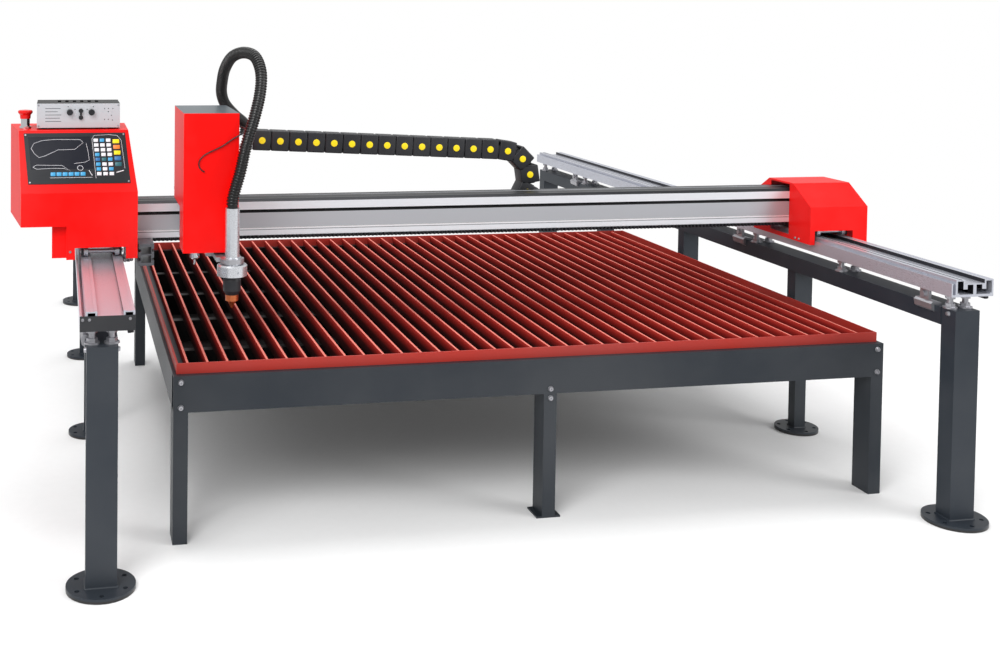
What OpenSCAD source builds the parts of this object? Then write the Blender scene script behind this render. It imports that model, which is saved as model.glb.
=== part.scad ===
// Portable gantry plasma cutting machine with two floor-standing rails and a slat table.
// Origin on the floor under the middle of the footprint, X along the gantry, Y along the rails.

/* [Rails] */
// Distance between the two rows of posts
rail_gauge = 2370; // [2340:10:2420]
// Length of each rail
rail_len = 3000; // [2960:20:3100]
// Height of the rail bodies
rail_h = 48; // [44:1:52]
// Gap between the rails and the square tubes below
lift_gap = 40; // [34:1:46]
// Height of the square tube below each rail
tube_h = 50; // [44:1:56]
// Width of the square tube below each rail
tube_w = 80; // [72:1:84]
// Wall of all the steel tubes
tube_wall = 4; // [3:0.5:5]
// Height of the post tops above the floor
post_top = 550; // [520:5:600]
// Width of an end post across the machine
post_w = 76; // [68:1:80]
// Depth of an end post along the machine
post_d = 56; // [50:1:60]
// Thickness of the steel foot plates
plate_t = 6; // [5:0.5:10]
// Diameter of the end foot plates
plate_d = 170; // [160:2:190]
// Diameter of the middle foot plates
mid_plate_d = 140; // [130:2:160]
// Diameter of the anchor bolt holes
anchor_d = 13; // [11:0.5:15]
// Pitch circle of the end plates
anchor_pcd = 134; // [128:1:140]
// Pitch circle of the middle plates
mid_pcd = 112; // [106:1:116]
// Thickness of the black pads below the plates
pad_t = 6; // [4:0.5:10]
// Height at which the middle posts get wider
sleeve_z = 330; // [280:5:400]

/* [Table] */
// Width of the slat table
table_w = 2094; // [2020:1:2100]
// Depth of the slat table
table_d = 1715; // [1600:5:1760]
// Height of the table top
table_z = 477; // [460:1:500]
// Height of the table beams
beam_h = 98; // [80:2:110]
// Height of the red strip above the beams
rim_h = 28; // [26:1:34]
// Thickness of one slat
slat_t = 6; // [4:0.5:7]
// Height of one slat
slat_h = 50; // [44:1:54]
// Number of slats
slat_count = 38; // [30:1:40]

/* [Gantry] */
// Depth of the gantry beam
gantry_d = 100; // [94:1:104]
// Height of the gantry beam
gantry_h = 112; // [106:1:116]
// Radius of the guide wheels
wheel_r = 15; // [14:0.5:15.5]
// Thickness of the folded steel covers
sheet_t = 2; // [1.5:0.25:2.5]
// Module of the racks and pinions
gear_m = 4; // [3.5:0.25:4]
// Height of the console panel edge at the front
console_top = 1055; // [1040:5:1080]
// Height of the top of the right end cover
cover_top = 854; // [848:1:870]

/* [Carriage] */
// Height of the top of the lifter box
box_top = 1122; // [1110:2:1140]
// Width of the lifter box
box_w = 156; // [150:1:162]
// Diameter of the torch tube
torch_d = 40; // [36:0.5:42]
// Diameter of the guide rods in the lifter
rod_d = 16; // [12:0.5:18]
// Outside diameter of the ribbed hose
hose_d = 36; // [32:0.5:38]
// Diameter of the sensor lead
lead_d = 4; // [3:0.25:4.5]

/* [Drag chain] */
// Height of one chain link
chain_h = 64; // [58:1:66]
// Width of one chain link
chain_w = 62; // [56:1:62]
// Bend radius of the chain
chain_r = 100; // [96:1:104]
// Diameter of the yellow link buttons
dot_d = 22; // [18:1:26]

/* [Hidden] */
$fn = 48;
eps = 0.01;
// Running clearance between moving pieces
gap = 0.3;

// Overall layout across the machine
console_out = 250;
cover_out = 132;
left_x = (console_out - cover_out - rail_gauge) / 2;
right_x = left_x + rail_gauge;
// The rail profile sits a little to the right of its posts
rail_shift = 18.5;
rail_xs = [left_x + rail_shift, right_x + rail_shift];
post_xs = [left_x, right_x];
tube_z = post_top + tube_h;
rail_z = tube_z + lift_gap;
rail_top = rail_z + rail_h;
post_y = rail_len / 2 - 30;
left_mid_ys = [-360, 555];
right_mid_ys = [-715, 40, 795];
foot_z = pad_t + plate_t;

// Half widths of the rail profile features about its middle
ridge_in = 31;
ridge_out = 59;
flange_out = 73;
bolt_pitch = (rail_len - 84) / 6;
bolt_ys = [for (k = [-3 : 3]) k * bolt_pitch];
bolt_xs = [-24, 24];
clamp_ys = [for (k = [-3, -1, 1, 2]) k * bolt_pitch + 78];
clamp_x = -rail_shift - tube_w / 2;

// Gear numbers
rack_p = PI * gear_m;
add_k = 0.7;
ded_k = 0.95;
pin_z = 12;
pin_r = pin_z * gear_m / 2;
cross_z = 20;
cross_r = cross_z * gear_m / 2;
rack_line = ridge_out - 5;
rack_h = 10;
// Backlash measured along the pitch line
backlash = 0.5;

// Gantry levels
beam_y0 = -758;
beam_y1 = beam_y0 + gantry_d;
beam_z0 = rail_top + 33;
beam_z1 = beam_z0 + gantry_h;
truck_y0 = beam_y0 - 42;
truck_y1 = beam_y0 + 128;
axle_y0 = beam_y0 - 82;
axle_y1 = beam_y0 + 168;
axle_z = rail_top + gap + wheel_r;
truck_t = 8;
truck_half = 58;
motor_y = beam_y0 + 123;
motor_w = 42;

// Console outline
con_l = left_x - console_out;
con_front_z = rail_top - 2;
con_y0 = -878;
con_y1 = -600;
con_bend_z = 880;
con_run = 60;
// Width of the console, its lean on the right above the bend and its flare to the left at the back
con_in = 121;
con_w = console_out + con_in;
con_lean = 26;
con_flare = 39;
con_tilt = atan(con_run / (console_top - con_bend_z));
con_slope_len = sqrt(pow(con_run, 2) + pow(console_top - con_bend_z, 2));

// Sides of the right end cover
cov_x0 = right_x - 75;
cov_x1 = right_x + cover_out;

// Carriage levels
box_x0 = -889;
box_x = box_x0 + box_w / 2;
box_y0 = -1043;
box_z0 = beam_z0 + 8;
plate_y1 = beam_y0 - 5;
plate_y0 = plate_y1 - 12;
plate_half = box_w / 2 - sheet_t;
torch_x = -756.5;
torch_y = -1088;
lift_y = -930;
// Guide rods to each side of the lead screw
rod_off = 40;

// Chain levels
chain_y = -588;
low_z = 760;
high_z = low_z + 2 * chain_r;
bend_x = 211;
up_x0 = -628;
// The upper run rises towards the carriage, as a stiff chain does
up_rise = 40;
low_x0 = -929;
link_p = 59;
// Half angle of a bend link and how far the bend has turned from its middle position
bend_half = 18;
bend_turn = 9;
bend_dx = chain_r * sin(bend_turn);
bend_dz = chain_r * cos(bend_turn);
// The lower run stops short by this, so that its square end clears the turned link
low_back = 2.6;

// Colours
red = [0.86, 0.09, 0.06];
grey = [0.16, 0.18, 0.21];
dark = [0.14, 0.15, 0.17];
black = [0.08, 0.08, 0.09];
steel = [0.72, 0.73, 0.75];
alu = [0.84, 0.85, 0.86];
yellow = [0.95, 0.80, 0.10];
copper = [0.72, 0.45, 0.25];

// A profile drawn as X across and Y up, run along the machine between two Y positions
module along_y(y0, y1) {
  translate([0, y1, 0]) rotate([90, 0, 0]) linear_extrude(y1 - y0) children();
}

// A profile drawn as Y across and Z up, run across the machine between two X positions
module along_x(x0, x1) {
  translate([x0, 0, 0]) rotate([90, 0, 90]) linear_extrude(x1 - x0) children();
}

// A rectangular tube standing on the given height
module tube_up(w, d, z0, z1, t) {
  difference() {
    translate([-w / 2, -d / 2, z0]) cube([w, d, z1 - z0]);
    translate([-w / 2 + t, -d / 2 + t, z0 - 1]) cube([w - 2 * t, d - 2 * t, z1 - z0 + 2]);
  }
}

// A round rod along Y
module rod_y(r, y0, y1) {
  translate([0, y1, 0]) rotate([90, 0, 0]) cylinder(r = r, h = y1 - y0);
}

// A round rod along X
module rod_x(r, x0, x1) {
  translate([x0, 0, 0]) rotate([0, 90, 0]) cylinder(r = r, h = x1 - x0);
}

// Hexagon head or nut
module hex(af, h) {
  cylinder(d = af / cos(30), h = h, $fn = 6);
}

// Button head bolt facing up, with a hexagon socket
module button_head(d, h) {
  difference() {
    cylinder(d1 = d, d2 = d * 0.7, h = h, $fn = 32);
    translate([0, 0, h * 0.45]) hex(d * 0.35, h);
  }
}

// Cross section of the aluminium rail
module rail_section() {
  difference() {
    union() {
      translate([-ridge_out, 0]) square([2 * ridge_out, rail_h - 11]);
      translate([-ridge_out, 0]) square([ridge_out - ridge_in, rail_h]);
      translate([ridge_in, 0]) square([ridge_out - ridge_in, rail_h]);
      translate([-flange_out, 0]) square([flange_out - ridge_out + 1, rail_h - 10]);
    }
    for (s = [-1, 1]) translate([s * (ridge_out + ridge_in) / 2 - 5, rail_h - 1]) square([10, 2]);
    translate([-flange_out + 4, 6]) square([flange_out - ridge_out - 5, rail_h - 20]);
    translate([-flange_out + 5, rail_h - 20]) square([flange_out - ridge_out - 7, 20]);
    for (s = [-1, 1]) {
      translate([s * 27 - 22, 7]) square([44, rail_h * 0.3]);
      translate([s * 14 - 9, 7]) square([18, rail_h - 21]);
      translate([s * 45 - 9, 10]) square([18, rail_h - 14]);
    }
  }
}

module rails() {
  color(alu) for (rx = [0, 1]) difference() {
    translate([rail_xs[rx], 0, rail_z]) along_y(-rail_len / 2, rail_len / 2) rail_section();
    for (bx = bolt_xs, by = bolt_ys)
      translate([post_xs[rx] + bx, by, rail_z - 1]) cylinder(r = 8.3, h = 8 + 1, $fn = 24);
  }
}

module rail_end_cap() {
  color(black) translate([rail_xs[0], 0, rail_z]) difference() {
    along_y(-rail_len / 2 - 3, -rail_len / 2) translate([-flange_out, 0]) square([flange_out + ridge_out, rail_h - 11]);
    for (sx = [-66, -50, 47])
      translate([sx, 0, rail_h * 0.6]) rod_y(2, -rail_len / 2 - 4, -rail_len / 2 + 1, $fn = 24);
  }
}

// Each tube ends at the inner face of the two end posts, which stand up to its top
tube_end = post_y - post_d / 2;
module support_tubes() {
  color(grey) for (px = post_xs) difference() {
    translate([px - tube_w / 2, -tube_end, post_top]) cube([tube_w, 2 * tube_end, tube_h]);
    translate([px - tube_w / 2 + tube_wall, -tube_end - 1, post_top + tube_wall])
      cube([tube_w - 2 * tube_wall, 2 * tube_end + 2, tube_h - 2 * tube_wall]);
    for (bx = bolt_xs, k = [-2 : 2])
      translate([px + bx, k * bolt_pitch, tube_z - tube_wall - 1]) cylinder(r = 8.3, h = tube_wall + 2, $fn = 24);
  }
}

module end_posts() {
  color(grey) for (px = post_xs, s = [-1, 1]) difference() {
    translate([px, s * post_y, 0]) {
      tube_up(post_w, post_d, foot_z, tube_z, tube_wall);
      translate([-post_w / 2, -post_d / 2, tube_z - tube_wall]) cube([post_w, post_d, tube_wall]);
    }
    for (bx = bolt_xs) translate([px + bx, s * 3 * bolt_pitch, tube_z - tube_wall - 1]) cylinder(r = 8.3, h = tube_wall + 2, $fn = 24);
  }
}

// Places a child at every middle post
module at_mid_posts() {
  for (y = left_mid_ys) translate([left_x, y, 0]) children();
  for (y = right_mid_ys) translate([right_x, y, 0]) children();
}

module mid_post_sleeves() {
  color(grey) at_mid_posts() {
    tube_up(64, 46, sleeve_z, post_top, tube_wall);
    difference() {
      translate([-28, -19, sleeve_z]) cube([56, 38, 8]);
      translate([-20, -18.5, sleeve_z - 1]) cube([40, 37, 10]);
    }
  }
}

module mid_post_legs() {
  color(grey) at_mid_posts() tube_up(40, 37, foot_z, sleeve_z + 90, tube_wall);
}

// One foot plate with its holes and the weld bead round the tube
module foot_plate(d, pcd, w, l) {
  difference() {
    union() {
      translate([0, 0, pad_t]) cylinder(d = d, h = plate_t, $fn = 96);
      translate([0, 0, foot_z]) for (s = [-1, 1]) {
        translate([0, s * l / 2, 0]) rod_x(4, -w / 2, w / 2, $fn = 24);
        translate([s * w / 2, 0, 0]) rod_y(4, -l / 2, l / 2, $fn = 24);
        for (q = [-1, 1]) translate([s * w / 2, q * l / 2, 0]) sphere(r = 4, $fn = 24);
      }
    }
    for (k = [0 : 5]) rotate([0, 0, 60 * k + 30])
      translate([pcd / 2, 0, pad_t - 1]) cylinder(d = anchor_d, h = plate_t + 2, $fn = 32);
    translate([-w / 2, -l / 2, foot_z]) cube([w, l, 20]);
  }
}

// One rubber pad with the same holes
module foot_pad(d, pcd) {
  difference() {
    cylinder(d = d, h = pad_t, $fn = 96);
    for (k = [0 : 5]) rotate([0, 0, 60 * k + 30])
      translate([pcd / 2, 0, -1]) cylinder(d = anchor_d, h = pad_t + 2, $fn = 32);
  }
}

module base_plates() {
  color(grey) {
    for (px = post_xs, s = [-1, 1])
      translate([px, s * post_y, 0]) foot_plate(plate_d, anchor_pcd, post_w, post_d);
    at_mid_posts() foot_plate(mid_plate_d, mid_pcd, 40, 37);
  }
}

module base_pads() {
  color(black) {
    for (px = post_xs, s = [-1, 1]) translate([px, s * post_y, 0]) foot_pad(plate_d, anchor_pcd);
    at_mid_posts() foot_pad(mid_plate_d, mid_pcd);
  }
}

// Stud with two nuts and a flange between tube and rail
module levelling_bolt() {
  translate([0, 0, tube_z - 12]) cylinder(r = 8, h = lift_gap + 17, $fn = 32);
  translate([0, 0, tube_z]) cylinder(r = 19, h = 4, $fn = 32);
  translate([0, 0, tube_z + 4]) hex(24, 10);
  translate([0, 0, rail_z - 4]) cylinder(r = 16, h = 4, $fn = 32);
  translate([0, 0, rail_z - 13]) hex(24, 9);
}

module levelling_bolts() {
  color(steel) for (px = post_xs, bx = bolt_xs, by = bolt_ys)
    translate([px + bx, by, 0]) levelling_bolt();
}

// Hooked bracket that stands on the tube edge and carries the rail flange
module rail_clamps() {
  color(steel) for (rx = [0, 1], y = clamp_ys) translate([rail_xs[rx], 0, 0]) difference() {
    along_y(y - 36, y + 36) polygon([[clamp_x, tube_z - 20], [clamp_x, tube_z], [clamp_x + 24, tube_z],
      [clamp_x + 24, tube_z + 5], [clamp_x + 4, tube_z + 9], [clamp_x + 4, rail_z], [clamp_x - 5, rail_z],
      [clamp_x - 5, tube_z + 8], [clamp_x - 11, tube_z + 2], [clamp_x - 8, tube_z - 14]]);
    translate([0, y, tube_z + 24]) rod_x(5.5, clamp_x - 10, clamp_x + 10, $fn = 24);
    for (s = [-1, 1]) translate([clamp_x - 12, y + s * 30 - 12, tube_z + 9.5]) cube([17, 24, 40]);
  }
}

// Rack teeth along X pointing up in Y, with the pitch line at zero and a space at the start
rack_slope = tan(20);
rack_half = rack_p / 4 - backlash / 4;
rack_foot = rack_half + ded_k * gear_m * rack_slope;
rack_tip = rack_half - add_k * gear_m * rack_slope;
function rack_pts(n) = [for (k = [0 : n - 1]) each [
  [(k + 0.5) * rack_p - rack_foot, -ded_k * gear_m],
  [(k + 0.5) * rack_p - rack_tip, add_k * gear_m],
  [(k + 0.5) * rack_p + rack_tip, add_k * gear_m],
  [(k + 0.5) * rack_p + rack_foot, -ded_k * gear_m]]];

// Rack bar outline, teeth up, back at the given depth below the pitch line
module rack_shape(n, back) {
  polygon(concat([[0, -back], [0, -ded_k * gear_m]], rack_pts(n), [[n * rack_p, -ded_k * gear_m], [n * rack_p, -back]]));
}

travel_n = floor((rail_len - 10) / rack_p);
module travel_racks() {
  color(dark) for (rx = rail_xs)
    translate([rx + rack_line, -travel_n * rack_p / 2, rail_z - rack_h])
      mirror([1, 0, 0]) rotate([0, 0, 90]) linear_extrude(rack_h) rack_shape(travel_n, rack_line - 42);
}

// Involute pinion outline
function inv(rb, t) = [rb * (cos(t) + t * PI / 180 * sin(t)), rb * (sin(t) - t * PI / 180 * cos(t))];
function inv_t(rb, r) = sqrt(pow(r / rb, 2) - 1) * 180 / PI;
function inv_a(t) = t - atan(t * PI / 180);
function turn(p, a) = [p[0] * cos(a) - p[1] * sin(a), p[0] * sin(a) + p[1] * cos(a)];
module gear_shape(z) {
  r = z * gear_m / 2;
  rb = r * cos(20);
  ro = r + add_k * gear_m;
  rf = r - ded_k * gear_m;
  half = 90 / z - backlash / 4 / r * 180 / PI + inv_a(inv_t(rb, r));
  t0 = rf > rb ? inv_t(rb, rf) : 0;
  t1 = inv_t(rb, ro);
  polygon([for (k = [0 : z - 1]) each concat(
    [turn([rf, 0], 360 / z * k - half + (t0 > 0 ? inv_a(t0) : 0) - 0.01)],
    [for (j = [0 : 3]) turn(inv(rb, t0 + (t1 - t0) * j / 3), 360 / z * k - half)],
    [for (j = [3 : -1 : 0]) let (q = inv(rb, t0 + (t1 - t0) * j / 3)) turn([q[0], -q[1]], 360 / z * k + half)],
    [turn([rf, 0], 360 / z * k + half - (t0 > 0 ? inv_a(t0) : 0) + 0.01)])]);
}

// Table position
tab_x0 = -933;
tab_y0 = -1262;
tab_x1 = tab_x0 + table_w;
tab_y1 = tab_y0 + table_d;
rim_z = table_z - rim_h;
beam_b = rim_z - beam_h;
beam_t = 50;
leg_w = 39;
leg_d = 76;
mid_leg_x = 119;
side_t = 36;
// Ledges of the beams outside the red rim, at the sides and at the ends
ledge_x = 9;
ledge_y = 20;
// The first slat stands beside the left beam, the last one a wider gap from the right beam
slat_x0 = tab_x0 + side_t + 4;
slat_pitch = (table_w - 102) / (slat_count - 1);

// Hollow rectangular bar in the table frame
module bar_box(x0, y0, z0, x1, y1, z1) {
  lx = x1 - x0;
  ly = y1 - y0;
  t = tube_wall;
  difference() {
    translate([x0, y0, z0]) cube([lx, ly, z1 - z0]);
    if (lx > ly) translate([x0 - 1, y0 + t, z0 + t]) cube([lx + 2, ly - 2 * t, z1 - z0 - 2 * t]);
    else translate([x0 + t, y0 - 1, z0 + t]) cube([lx - 2 * t, ly + 2, z1 - z0 - 2 * t]);
  }
}

module table_frame() {
  color(dark) {
    bar_box(tab_x0, tab_y0, beam_b, tab_x1, tab_y0 + beam_t, rim_z);
    bar_box(tab_x0, tab_y1 - beam_t, beam_b, tab_x1, tab_y1, rim_z);
    bar_box(tab_x0, tab_y0 + beam_t, beam_b, tab_x0 + side_t, tab_y1 - beam_t, rim_z);
    bar_box(tab_x1 - side_t, tab_y0 + beam_t, beam_b, tab_x1, tab_y1 - beam_t, rim_z);
    bar_box(mid_leg_x - 25, tab_y0 + beam_t, beam_b, mid_leg_x + 25, tab_y1 - beam_t, beam_b + 42);
    for (k = [1 : 4]) for (s = [0, 1])
      bar_box(s == 0 ? tab_x0 + side_t : mid_leg_x + 25, tab_y0 + table_d * k / 5 - 15, beam_b + 6,
        s == 0 ? mid_leg_x - 25 : tab_x1 - side_t, tab_y0 + table_d * k / 5 + 15, table_z - 4 - slat_h);
  }
}

// Two thin pans under the cross bars that catch the slag
module slag_trays() {
  color(dark) for (x = [[tab_x0 + side_t, mid_leg_x - 25], [mid_leg_x + 25, tab_x1 - side_t]])
    translate([x[0], tab_y0 + beam_t, beam_b + 4]) cube([x[1] - x[0], table_d - 2 * beam_t, 2]);
}

module table_legs() {
  color(dark) {
    for (x = [tab_x0 + leg_w / 2, tab_x1 - leg_w / 2], y = [tab_y0 + leg_d / 2, tab_y1 - leg_d / 2])
      translate([x, y, 0]) {
        tube_up(leg_w, leg_d, 5, beam_b, tube_wall);
        translate([-leg_w / 2, -leg_d / 2, 0]) cube([leg_w, leg_d, 5]);
      }
    for (y = [tab_y0 + 35, tab_y1 - 35]) translate([mid_leg_x, y, 0]) {
      tube_up(38, 70, 5, beam_b, tube_wall);
      translate([-35, -35, 0]) cube([70, 70, 5]);
    }
  }
}

module slat_rim() {
  color(red) translate([0, 0, rim_z]) difference() {
    translate([tab_x0 + ledge_x, tab_y0 + ledge_y, 0]) cube([table_w - 2 * ledge_x, table_d - 2 * ledge_y, rim_h]);
    translate([tab_x0 + ledge_x + 5, tab_y0 + ledge_y + 5, -1])
      cube([table_w - 2 * ledge_x - 10, table_d - 2 * ledge_y - 10, rim_h + 2]);
  }
}

module slats() {
  color([0.45, 0.14, 0.12]) for (k = [0 : slat_count - 1])
    along_x(slat_x0 + k * slat_pitch - slat_t / 2, slat_x0 + k * slat_pitch + slat_t / 2)
      polygon([[tab_y0 + ledge_y + 6, rim_z], [tab_y0 + beam_t + 1, rim_z], [tab_y0 + beam_t + 1, table_z - 4 - slat_h],
        [tab_y1 - beam_t - 1, table_z - 4 - slat_h], [tab_y1 - beam_t - 1, rim_z], [tab_y1 - ledge_y - 6, rim_z],
        [tab_y1 - ledge_y - 6, table_z - 4], [tab_y0 + ledge_y + 6, table_z - 4]]);
}

module frame_bolts() {
  color(steel) {
    for (px = post_xs, s = [-1, 1]) {
      translate([px + s * post_w / 2, -post_y, post_top + tube_h * 0.75]) rotate([0, s * 90, 0]) button_head(14, 6);
    }
    for (x = [tab_x0 + leg_w / 2, tab_x1 - leg_w / 2], z = [beam_b + 14, rim_z - 17])
      translate([x, tab_y0, z]) rotate([90, 0, 0]) button_head(16, 6);
    for (z = [beam_b - 12, beam_b + 14])
      translate([mid_leg_x, tab_y0, z]) rotate([90, 0, 0]) button_head(16, 6);
    for (sx = [-66, -50, 47])
      translate([rail_xs[0] + sx, -rail_len / 2 - 3, rail_z + rail_h * 0.6]) rotate([90, 0, 0]) button_head(8, 2.5);
    for (rx = [0, 1], y = clamp_ys)
      translate([rail_xs[rx] + clamp_x - 5, y, tube_z + 24]) rotate([0, -90, 0]) hex(15, 7);
  }
}

// Cross section of the gantry beam, front face towards the cutting side
module gantry_section() {
  h = gantry_h;
  d = gantry_d;
  difference() {
    polygon([[0, 2], [2, 2], [2, 0], [d, 0], [d, h], [9, h], [0, h - 8], [0, h * 0.70], [3, h * 0.70],
      [3, h * 0.66], [1.5, h * 0.64], [1.5, h * 0.215], [0, h * 0.21], [0, h * 0.18], [1.5, h * 0.175],
      [1.5, h * 0.16], [0, h * 0.15]]);
    translate([-1, h * 0.66]) square([9, 6]);
    translate([8, h * 0.66 - 4]) square([5, 14]);
    translate([18, 7]) square([34, h * 0.5]);
    translate([58, 7]) square([d - 65, h * 0.5]);
    translate([18, h * 0.62]) square([34, h * 0.3]);
    translate([58, h * 0.62]) square([d - 65, h * 0.3]);
    translate([30, h - 6]) square([8, 10]);
    translate([66, h - 6]) square([8, 10]);
    translate([d - 6, h * 0.3]) square([10, 8]);
    translate([d - 6, h * 0.7]) square([10, 8]);
  }
}

gantry_x0 = rail_xs[0] - truck_half;
gantry_x1 = rail_xs[1] + truck_half;
module gantry_beam() {
  color(alu) translate([0, beam_y0, beam_z0]) along_x(gantry_x0, gantry_x1) gantry_section();
}

stub_x0 = con_l + con_w + 5;
cross_x0 = stub_x0 + 48;
module cross_rack() {
  n = floor((cov_x0 - 9 - cross_x0) / rack_p);
  color(dark) translate([cross_x0, beam_y0 + 2, beam_z0 - rack_h])
    mirror([0, 1, 0]) linear_extrude(rack_h) rack_shape(n, 16);
}

// Folded tray behind the beam
tray_x0 = low_x0 - 29;
tray_w = cov_x0 - 17 - tray_x0;
module chain_tray() {
  color(black) translate([tray_x0, 0, low_z - chain_h / 2 - 2]) {
    translate([0, beam_y1, 0]) cube([tray_w, chain_y + 35 - beam_y1, 2]);
    translate([0, chain_y + 33, 2]) cube([tray_w, 2, 22]);
    translate([0, beam_y1, 2]) cube([tray_w, 2, 30]);
  }
}

// Plate, side cheeks and motor shelf on one rail
module end_truck(rx) {
  difference() {
    union() {
      translate([rx - truck_half, truck_y0, beam_z0 - truck_t])
        cube([2 * truck_half, truck_y1 - truck_y0, truck_t]);
      translate([rx + truck_half - 20, motor_y - 24, beam_z0 - truck_t])
        cube([rack_line + pin_r + 24 - truck_half + 20, 48, truck_t]);
      for (s = [-1, 1]) translate([rx + s * (truck_half - 3) - 3, axle_y0 - 14, rail_top + 4])
        cube([6, axle_y1 - axle_y0 + 28, beam_z0 - rail_top - 4]);
    }
    for (y = [axle_y0, axle_y1]) translate([rx, y, axle_z]) rod_x(6 + gap, -truck_half - 1, truck_half + 1);
    translate([rx + rack_line + pin_r + 0.1, motor_y, beam_z0 - truck_t - 1]) cylinder(r = 12, h = truck_t + 2);
  }
}

module end_trucks() {
  color(dark) for (rx = rail_xs) end_truck(rx);
}

module stub_profile() {
  color(alu) translate([stub_x0, 0, beam_z0 - 64]) along_y(beam_y0 - 92, beam_y0 + 46) difference() {
    square([45, 64]);
    for (k = [0, 1]) translate([8, 8 + 26 * k]) square([29, 22]);
    for (k = [0, 1]) translate([-1, 15 + 26 * k]) square([7, 8]);
    for (k = [0, 1]) translate([39, 15 + 26 * k]) square([7, 8]);
  }
}

// Square stepper style motor standing on its flange, bore up the middle
module motor(w, h) {
  difference() {
    union() {
      translate([-w / 2, -w / 2, 0]) cube([w, w, 8]);
      translate([-w / 2 + 1, -w / 2 + 1, 8]) cube([w - 2, w - 2, h - 16]);
      translate([-w / 2, -w / 2, h - 8]) cube([w, w, 8]);
    }
    translate([0, 0, -1]) cylinder(r = 4 + gap, h = 16);
    for (sx = [-1, 1], sy = [-1, 1]) translate([sx * w * 0.37, sy * w * 0.37, -1]) cylinder(r = 1.6, h = 9, $fn = 24);
  }
}

module drive_motors() {
  color(dark) for (rx = rail_xs) translate([rx + rack_line + pin_r + 0.1, motor_y, beam_z0]) motor(motor_w, 76);
}

// Pinion with its shaft, tooth space facing the rack
module drive_pinion(rx) {
  color(steel) translate([rx + rack_line + pin_r + 0.1, motor_y, rail_z - rack_h]) {
    rotate([0, 0, pinion_phase(motor_y + travel_n * rack_p / 2)]) linear_extrude(rack_h - gap) gear_shape(pin_z);
    cylinder(r = 11, h = rack_h + 10);
    cylinder(r = 4, h = beam_z0 + 12 - rail_z + rack_h);
  }
}

// Angle that puts a pinion tooth into the rack space beside it
function pinion_phase(along) = 180 + along / rack_p * 360 / pin_z;

module left_pinion() {
  drive_pinion(rail_xs[0]);
}

module right_pinion() {
  drive_pinion(rail_xs[1]);
}

// Axle with a wheel over each ridge of the rail
module wheel_set(rx, y) {
  color(steel) translate([rx, y, axle_z]) {
    rod_x(6, -truck_half - 4, truck_half + 4);
    for (s = [-1, 1]) translate([s * 45, 0, 0]) difference() {
      rod_x(wheel_r, -6, 6);
      for (q = [-1, 1]) translate([q * 6, 0, 0]) difference() {
        rod_x(wheel_r - 3, -1, 1);
        rod_x(8, -2, 2);
      }
    }
  }
}

module wheels_left_front() {
  wheel_set(rail_xs[0], axle_y0);
}

module wheels_left_rear() {
  wheel_set(rail_xs[0], axle_y1);
}

module wheels_right_front() {
  wheel_set(rail_xs[1], axle_y0);
}

module wheels_right_rear() {
  wheel_set(rail_xs[1], axle_y1);
}

// Plan, side and front outlines of the console, drawn with a given inset
module console_solid(i) {
  intersection() {
    translate([0, 0, 600]) linear_extrude(600) polygon([[con_l + con_flare + i, con_y0 + i], [con_l + i, con_y1 + eps],
      [con_l + con_w - i, con_y1 + eps], [con_l + con_w - i, con_y0 + i]]);
    along_x(con_l - 10, con_l + 400) polygon([[con_y0 + i, con_front_z - i * 2], [con_y0 + i, con_bend_z + i / 3],
      [con_y0 + con_run + i * 0.7, console_top - i], [con_y1 + (i > 0 ? 2 : 0), console_top - i],
      [con_y1 + (i > 0 ? 2 : 0), con_front_z - i * 2]]);
    along_y(con_y0 - 5, con_y1 + 5) polygon([[con_l - 5, 600], [con_l + con_w - i, 600], [con_l + con_w - i, con_bend_z],
      [con_l + con_w - con_lean - i, console_top], [con_l + con_w - con_lean - i, 1200], [con_l - 5, 1200]]);
  }
}

con_leg_x = con_l + 167;
con_cut_x0 = rail_xs[0] - 77;
con_cut_x1 = rail_xs[0] + 69;
con_low_z = 783;
module console_housing() {
  color(red) {
    console_shell();
    translate([con_leg_x, con_y0 + 1, con_front_z]) cube([sheet_t, con_y1 - con_y0 - 2, con_low_z + 6 - con_front_z]);
    translate([con_leg_x - 41, con_y0 + 30, con_front_z]) cube([42, sheet_t, con_low_z - con_front_z + 6]);
  }
}

module console_shell() {
  difference() {
    console_solid(0);
    console_solid(sheet_t);
    translate([con_l - 1, con_y0 - 1, con_front_z - 10]) cube([168, 400, con_low_z - con_front_z + 10]);
    translate([con_cut_x0, con_y0 - 1, con_front_z - 10]) cube([con_cut_x1 - con_cut_x0, 400, rail_top + 32 - con_front_z + 10]);
    translate([con_l + 300, beam_y0 - 1, beam_z0 - 14]) cube([100, gantry_d + 2, gantry_h + 14]);
    translate([con_l + 300, beam_y0 - 1, beam_z0 - 14]) cube([100, con_y1 - beam_y0 + 10, 96]);
    translate([estop_x, estop_y, console_top - 10]) cylinder(r = 12, h = 20);
  }
}

module console_back_cover() {
  color(red) difference() {
    along_y(con_y1, con_y1 + sheet_t) polygon([[con_l, con_low_z], [con_leg_x, con_low_z],
      [con_leg_x, con_front_z], [con_cut_x0, con_front_z], [con_cut_x0, beam_z0 + 3],
      [con_cut_x1, beam_z0 + 3], [con_cut_x1, con_front_z], [con_l + con_w, con_front_z],
      [con_l + con_w, con_bend_z], [con_l + con_w - con_lean, console_top], [con_l, console_top]]);
    for (k = [0 : 7]) translate([con_l + 120, con_y1 - 1, 900 + k * 14]) cube([150, 4, 5]);
  }
}

// Puts a child on the sloping panel, X across, Y up the slope, Z out of it
module on_slope() {
  translate([con_l + 197, con_y0 + con_run / 2, (con_bend_z + console_top) / 2]) rotate([90 - con_tilt, 0, 0])
    translate([0, 9, 0]) children();
}

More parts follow.
